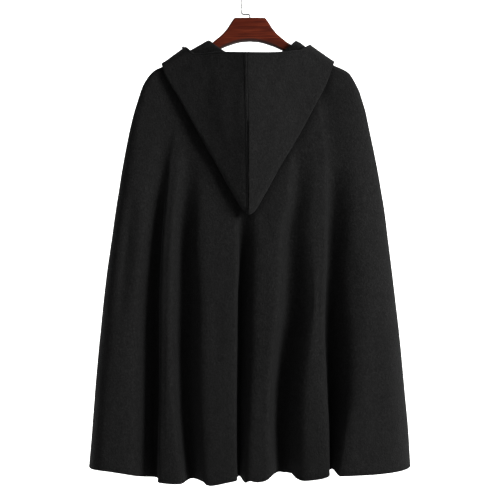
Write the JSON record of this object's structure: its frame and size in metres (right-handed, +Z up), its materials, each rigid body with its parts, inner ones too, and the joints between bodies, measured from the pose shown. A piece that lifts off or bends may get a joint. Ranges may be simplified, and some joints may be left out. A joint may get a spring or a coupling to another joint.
{
  "type": "hooded poncho on hanger",
  "caption": "Long dark hooded poncho hanging by its shoulders on a wooden hanger, hood down the back in a point, hem in deep soft folds.",
  "frame": {"origin": "inside of the hook's crown, the point that rests on a rail", "axes": "+Z up, +X to the right as the back of the garment is looked at, -Y out of the garment's back, +Y out of its front"},
  "size_m": [0.6863, 0.1718, 1.0535],
  "materials": {
    "cloth": "brushed black wool blend, matt, one cloth for every panel",
    "hanger_wood": "red-brown stained wood under gloss lacquer",
    "hook_steel": "bright plated wire"
  },
  "bodies": {
    "root": {"back_panel": "cloth", "front_left": "cloth", "front_right": "cloth", "hood_left": "cloth", "hood_right": "cloth", "hanger_body": "hanger_wood", "hanger_hook": "hook_steel"}
  },
  "joints": []
}
